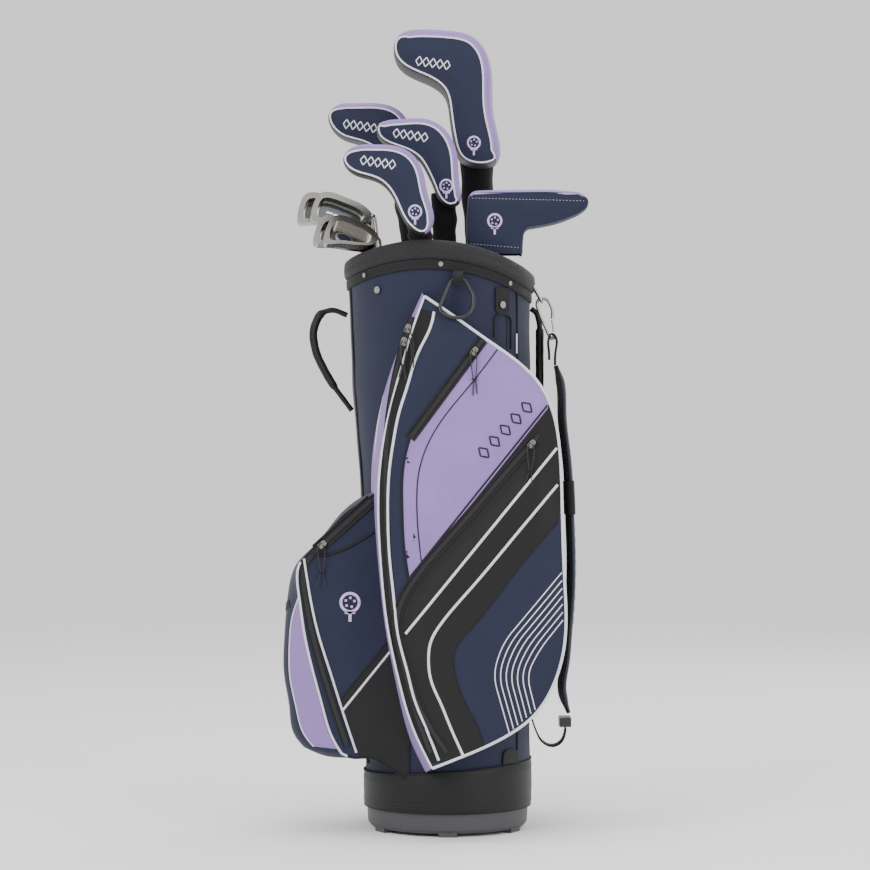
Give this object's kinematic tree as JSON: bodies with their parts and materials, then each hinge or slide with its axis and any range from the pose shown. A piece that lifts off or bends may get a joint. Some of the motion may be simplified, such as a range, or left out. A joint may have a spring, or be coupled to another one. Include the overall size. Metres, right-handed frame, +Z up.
{
  "type": "golf club set",
  "caption": "Cart golf bag with side and ball pockets, a carry strap and divided top, holding woods, hybrids and a putter under headcovers, and bare irons.",
  "frame": {"origin": "on the ground at the middle of the bag's round base", "axes": "+Z up, +X towards the bag's spine and strap, -X towards the ball pocket, -Y towards the near side pocket"},
  "size_m": [0.4368, 0.3478, 1.1573],
  "materials": {
    "moulded_base": "fine moulded grain",
    "black_webbing": "woven nylon webbing",
    "navy_cloth": "coated woven nylon",
    "pocket_cloth": "coated woven nylon with lavender panels",
    "mesh_padding": "padded air mesh",
    "rivet_metal": "nickel plated",
    "stay_tube": "drawn tube",
    "zip_coil": "moulded coil",
    "slider_metal": "black nickel die casting",
    "pull_cord": "braided cord",
    "black_plastic": "moulded acetal",
    "wood_paint": "gloss paint over a cast shell",
    "iron_plate": "nickel-chrome plate",
    "graphite": "painted graphite shaft with a rubber grip"
  },
  "bodies": {
    "bag": {"base_cup": "moulded_base", "base_skirt": "black_webbing", "bag_tube": "navy_cloth", "club_divider": "moulded_base", "cuff_pad": "mesh_padding", "cuff_band": "black_webbing", "cuff_rivets": "rivet_metal", "support_rods": "stay_tube", "webbing_tabs": "black_webbing", "near_side_pocket": "pocket_cloth", "far_side_pocket": "pocket_cloth", "ball_pocket": "pocket_cloth", "near_zip_chains": "zip_coil", "far_zip_chains": "zip_coil", "ball_zip_chains": "zip_coil", "front_handle": "black_webbing", "rear_handle": "black_webbing", "strap_pad": "navy_cloth", "strap_webbing": "black_webbing", "strap_buckle": "black_plastic", "strap_link": "black_plastic", "snap_hook": "rivet_metal"},
    "driver": {"driver_head": "wood_paint", "driver_shaft": "graphite"},
    "fairway_wood": {"fairway_wood_head": "wood_paint", "fairway_wood_shaft": "graphite"},
    "hybrid_four": {"hybrid_four_head": "wood_paint", "hybrid_four_shaft": "graphite"},
    "hybrid_five": {"hybrid_five_head": "wood_paint", "hybrid_five_shaft": "graphite"},
    "putter": {"putter_head": "iron_plate", "putter_shaft": "graphite"},
    "iron_six": {"iron_six_head": "iron_plate", "iron_six_shaft": "graphite"},
    "iron_seven": {"iron_seven_head": "iron_plate", "iron_seven_shaft": "graphite"},
    "iron_nine": {"iron_nine_head": "iron_plate", "iron_nine_shaft": "graphite"},
    "wedge": {"wedge_head": "iron_plate", "wedge_shaft": "graphite"},
    "driver_cover": {"driver_cover": "navy_cloth"},
    "fairway_cover": {"fairway_cover": "navy_cloth"},
    "hybrid_four_cover": {"hybrid_four_cover": "navy_cloth"},
    "hybrid_five_cover": {"hybrid_five_cover": "navy_cloth"},
    "putter_cover": {"putter_cover": "navy_cloth"},
    "near_zip_upper_pull": {"near_zip_upper_slider": "slider_metal", "near_zip_upper_cord": "pull_cord"},
    "near_zip_lower_pull": {"near_zip_lower_slider": "slider_metal", "near_zip_lower_cord": "pull_cord"},
    "near_valuables_pull": {"near_valuables_slider": "slider_metal", "near_valuables_cord": "pull_cord"},
    "near_panel_pull": {"near_panel_slider": "slider_metal", "near_panel_cord": "pull_cord"},
    "ball_zip_pull": {"ball_zip_slider": "slider_metal", "ball_zip_cord": "pull_cord"},
    "far_zip_pull": {"far_zip_slider": "slider_metal", "far_zip_cord": "pull_cord"},
    "towel_ring": {"towel_ring": "black_plastic"},
    "hook_gate": {"hook_gate": "rivet_metal"}
  },
  "joints": [
    {"name": "driver_lift", "type": "slide", "parent": "bag", "child": "driver", "axis": [-0.0235, 0.0557, 0.9982], "range_m": [0, 0.6]},
    {"name": "fairway_wood_lift", "type": "slide", "parent": "bag", "child": "fairway_wood", "axis": [-0.1233, 0.0591, 0.9906], "range_m": [0, 0.6]},
    {"name": "hybrid_four_lift", "type": "slide", "parent": "bag", "child": "hybrid_four", "axis": [-0.0196, 0.0236, 0.9995], "range_m": [0, 0.6]},
    {"name": "hybrid_five_lift", "type": "slide", "parent": "bag", "child": "hybrid_five", "axis": [-0.1217, -0.0364, 0.9919], "range_m": [0, 0.6]},
    {"name": "putter_lift", "type": "slide", "parent": "bag", "child": "putter", "axis": [-0.017, -0.038, 0.9991], "range_m": [0, 0.6]},
    {"name": "iron_six_lift", "type": "slide", "parent": "bag", "child": "iron_six", "axis": [-0.1685, 0, 0.9857], "range_m": [0, 0.6]},
    {"name": "iron_seven_lift", "type": "slide", "parent": "bag", "child": "iron_seven", "axis": [-0.1216, 0, 0.9926], "range_m": [0, 0.6]},
    {"name": "iron_nine_lift", "type": "slide", "parent": "bag", "child": "iron_nine", "axis": [-0.0992, 0, 0.9951], "range_m": [0, 0.6]},
    {"name": "wedge_lift", "type": "slide", "parent": "bag", "child": "wedge", "axis": [-0.0996, 0, 0.995], "range_m": [0, 0.6]},
    {"name": "driver_cover_pull", "type": "slide", "parent": "driver", "child": "driver_cover", "axis": [-0.0235, 0.0557, 0.9982], "range_m": [0, 0.36], "deforming": ["driver_cover"]},
    {"name": "fairway_cover_pull", "type": "slide", "parent": "fairway_wood", "child": "fairway_cover", "axis": [-0.1233, 0.0591, 0.9906], "range_m": [0, 0.24], "deforming": ["fairway_cover"]},
    {"name": "hybrid_four_cover_pull", "type": "slide", "parent": "hybrid_four", "child": "hybrid_four_cover", "axis": [-0.0196, 0.0236, 0.9995], "range_m": [0, 0.24], "deforming": ["hybrid_four_cover"]},
    {"name": "hybrid_five_cover_pull", "type": "slide", "parent": "hybrid_five", "child": "hybrid_five_cover", "axis": [-0.1217, -0.0364, 0.9919], "range_m": [0, 0.2], "deforming": ["hybrid_five_cover"]},
    {"name": "putter_cover_pull", "type": "slide", "parent": "putter", "child": "putter_cover", "axis": [-0.017, -0.038, 0.9991], "range_m": [0, 0.14], "deforming": ["putter_cover"]},
    {"name": "near_zip_upper_travel", "type": "hinge", "parent": "bag", "child": "near_zip_upper_pull", "pos_m": [0.5559, -0.1488, 0.52], "axis": [0, -0.9982, 0.0599], "range_deg": [-1.3, 0.4]},
    {"name": "near_zip_lower_travel", "type": "hinge", "parent": "bag", "child": "near_zip_lower_pull", "pos_m": [0.5559, -0.1488, 0.52], "axis": [0, -0.9982, 0.0599], "range_deg": [-0.4, 15.1]},
    {"name": "far_zip_travel", "type": "hinge", "parent": "bag", "child": "far_zip_pull", "pos_m": [0.5559, 0.1488, 0.52], "axis": [0, 0.9982, 0.0599], "range_deg": [-16.8, 1.3]},
    {"name": "near_valuables_travel", "type": "slide", "parent": "bag", "child": "near_valuables_pull", "axis": [-0.5937, -0.0482, -0.8032], "range_m": [-0.008, 0.13]},
    {"name": "near_panel_travel", "type": "slide", "parent": "bag", "child": "near_panel_pull", "axis": [-0.6513, -0.0454, -0.7574], "range_m": [-0.008, 0.22]},
    {"name": "ball_zip_travel", "type": "slide", "parent": "bag", "child": "ball_zip_pull", "axis": [0.7395, 0, 0.6731], "range_m": [0, 0.08]},
    {"name": "towel_ring_swing", "type": "hinge", "parent": "bag", "child": "towel_ring", "pos_m": [0.0145, -0.1275, 0.785], "axis": [-1, 0, 0], "range_deg": [0, 75]},
    {"name": "hook_gate_press", "type": "hinge", "parent": "bag", "child": "hook_gate", "pos_m": [0.1511, -0.01, 0.734], "axis": [0, 1, 0], "range_deg": [0, 14], "stiffness_Nm_per_rad": 0.02}
  ]
}
